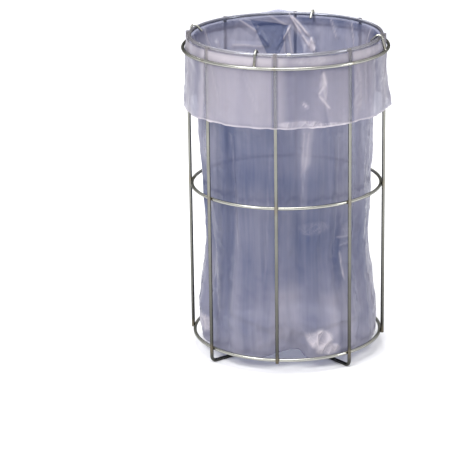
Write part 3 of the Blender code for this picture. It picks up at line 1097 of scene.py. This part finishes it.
outward = places * (1, 1, 0) / np.maximum(flat_distance(places), 1e-6)[:, None]
lift_way = np.where((down > BOTTOM_FLAT)[:, None], normals.reshape(-1, 3), outward)
places += lift_way * lift[:, None]
inner = down > RIM_END
off_front = (np.degrees(turn) + 180) % 360 - 180
front_corner = rise(off_front, -22, 30) * fall(off_front, 14, 9)
tucked = (0.012 * front_corner + 0.012 * bell(205, 20)) * rise(down, 0.645, 0.090)
flared = 0.006 * bell(97, 22) * fall(down, 0, 0.050)
distance = flat_distance(places) + flared
distance -= tucked * rise(distance, 0, 0.15)
kept_inside = np.minimum(distance, inner_limit(places[:, 2]))
set_distance(places, np.where(inner & (places[:, 2] < TOP - 0.006), kept_inside, distance))
hanging = 0.020 * front_corner + 0.006 * bell(150, 30) + 0.006 * bell(250, 25)
places[:, 2] += hanging * rise(down, 0.62, 0.090)
pinched_rim = 0.005 * bell(190.5, 6) * np.exp(-((down - RIM) / 0.010) ** 2)
places[:, 2] += pinched_rim
places[:, 2] = np.where(inner, np.maximum(places[:, 2], FLOOR - 0.0005), places[:, 2])
print("the front corner hangs up to", round(hanging.max() * 1000, 1), "mm off the hoops")

# %% [markdown]
# The uprights stand out from the top ring by a wire's width, and their blunt heads reach above its
# middle. Over each head the cuff is laid straight out from the rim and then down, like a tent.

# %% Tent over the uprights' heads
off_upright = from_nearest_upright(turn)
clear_of_wire = WIRE + GAP + 0.0004
proud = UPRIGHT + np.sqrt(np.maximum(clear_of_wire ** 2 - off_upright ** 2, 0))
level_run = proud - RING
drop_run = TOP + FOLD - RETAINER_Z
cuff_top = run[CUFF_POINTS - 1]
past_rim = np.clip((RIM - down) / (RIM - cuff_top), 0, 1) * (level_run + drop_run)
tent_distance = np.minimum(RING + past_rim, proud)
tent_height = TOP + FOLD - np.maximum(past_rim - level_run, 0)
tent = np.stack([tent_distance * np.sin(turn), -tent_distance * np.cos(turn), tent_height], axis=1)
over_head = (down < RIM) & (down > cuff_top) & (off_upright < clear_of_wire)
places[over_head] = tent[over_head]
write_places(film.data, places)
print("points over the uprights' heads:", int(over_head.sum()))

# %% [markdown]
# Two values go to the material. One is how pale the film is, and "cover" is how much it hides. The
# cuff is clearest where it touches a wire or the rim, and hazy where air is behind it. At the holder's
# left and right it stands away from the bag and hides more. The bottom is one clear layer on the hoops.
# The paleness is partly the film's haze and partly painted light. The cuff between the two rings is
# made paler where it would be in shade, and facets, creases, spots and patches are painted lighter and
# darker as they would catch the light.

# %% Milkiness and cover
SIDE_TURN = 7.7  # degrees that these two sides are turned round from the left and right uprights
edge = fall(down, 0.001, 0.003)
between_rings = on_cuff * rise(down, cuff_top - 0.004, 0.008)
from_side = np.abs(np.abs(off_front - SIDE_TURN) - 90)
at_sides = on_cuff * fall(from_side, 32, 8) * (1 - between_rings)
touching = np.maximum(on_cuff * fall(off_upright, 0.002, 0.0045) * (1 - at_sides),
                      fall(np.abs(down - RIM), 0.009, 0.004))

# Painted light: paler between the rings, where the cuff would be in shade. In the mouth, on the wall and
# along the hem, the paleness changes facet by facet as painted reflections.
milk_and_painted_light = 0.46 * on_cuff + 0.30 * between_rings - 0.12 * at_sides
milk_and_painted_light += mouth * (0.23 + 0.10 * large) + 0.03 * wall * large
milk_and_painted_light += 0.10 * rise(down, 0.36, 0.12) + 0.10 * rise(down, 0.50, 0.14) + 0.12 * bottom
milk_and_painted_light += tone_and_painted_shading + whitening_and_painted_light + 0.10 * hem * small + 0.25 * edge
cover = 0.88 - 0.44 * on_cuff + 0.16 * between_rings + 0.46 * at_sides - 0.10 * mouth
cover += 0.45 * whitening_and_painted_light + 0.5 * np.maximum(tone_and_painted_shading, 0) * on_cuff - 0.72 * rise(down, 0.730, 0.030)
cover = np.clip(cover * (1 - 0.65 * touching) + 0.4 * edge, 0.08, 0.95)
for name, values in (("milk_and_painted_light", milk_and_painted_light), ("cover", cover)):
    film.data.attributes.new(name, "FLOAT", "POINT").data.foreach_set("value", values.astype(np.float32))
    print(name, "is", round(float(values.mean()), 2), "on average")

# %% Finish the bag
dress(film, POLYTHENE, "bag", "bag_film", "liner_bag")

# %% [markdown]
# ## Floor and light
#
# The holder stands on a plain white floor under soft light. A large lamp high on the left gives the
# wires their bright upper lines, a weaker one opens the shadows from the right, and others light the
# back and the top. The sky is darker at its horizon, so that the steel has something dark to reflect.

# %% Floor
start_clean()
bpy.ops.mesh.primitive_plane_add(size=40, location=(0, 0, 0))
floor = bpy.context.object
floor.name = "floor"
r = Recipe("floor_paint")
grain = r.add("TexNoise", {}, Vector=r.add("TexCoord").outputs["Object"], Scale=60.0).outputs["Fac"]
paint = r.blend(grain, (0.90, 0.90, 0.91, 1), (0.93, 0.93, 0.93, 1))
floor.data.materials.append(r.finish(r.add("BsdfPrincipled", {}, Base_Color=paint, Roughness=0.7)))


# %% Lamps
def area_lamp(name, place, target, size, power):
    data = bpy.data.lights.new(name, "AREA")
    data.shape = "SQUARE"
    data.size = size
    data.energy = power
    lamp = bpy.data.objects.new(name, data)
    bpy.context.scene.collection.objects.link(lamp)
    lamp.location = place
    lamp.rotation_euler = (Vector(target) - Vector(place)).to_track_quat("-Z", "Y").to_euler()
    return lamp


area_lamp("key", (-1.7, -1.9, 2.3), (0, 0, 0.4), 0.9, 34)
area_lamp("side", (2.3, -0.6, 1.2), (0, 0, 0.3), 0.5, 9)
area_lamp("back", (-0.6, 2.2, 2.4), (0, 0, 0.4), 1.2, 26)
area_lamp("top", (0.2, -0.7, 2.6), (0, 0, 0.5), 1.2, 20)
sun_data = bpy.data.lights.new("sun", "SUN")
sun_data.energy = 1.1
sun_data.angle = math.radians(60)
sun = bpy.data.objects.new("sun", sun_data)
bpy.context.scene.collection.objects.link(sun)
sun.rotation_euler = (math.radians(25), math.radians(-20), 0)
print("lamps:", [light.name for light in bpy.data.lights])

# %% Sky
SKY = ((0.0, (0.55, 0.55, 0.56, 1)), (0.28, (0.58, 0.58, 0.60, 1)), (0.75, (1.0, 1.0, 1.03, 1)))

world = bpy.data.worlds.new("studio")
bpy.context.scene.world = world
world.use_nodes = True
nodes, links = world.node_tree.nodes, world.node_tree.links
height = nodes.new("ShaderNodeSeparateXYZ")
links.new(nodes.new("ShaderNodeTexCoord").outputs["Generated"], height.inputs[0])
ramp = nodes.new("ShaderNodeValToRGB")
stops = ramp.color_ramp.elements
stops.new(0.5)
for stop, (position, colour) in zip(stops, SKY):
    stop.position = position
    stop.color = colour
links.new(height.outputs["Z"], ramp.inputs["Fac"])
links.new(ramp.outputs["Color"], nodes["Background"].inputs["Color"])
nodes["Background"].inputs["Strength"].default_value = 1.0
bpy.context.scene.view_settings.view_transform = "Standard"
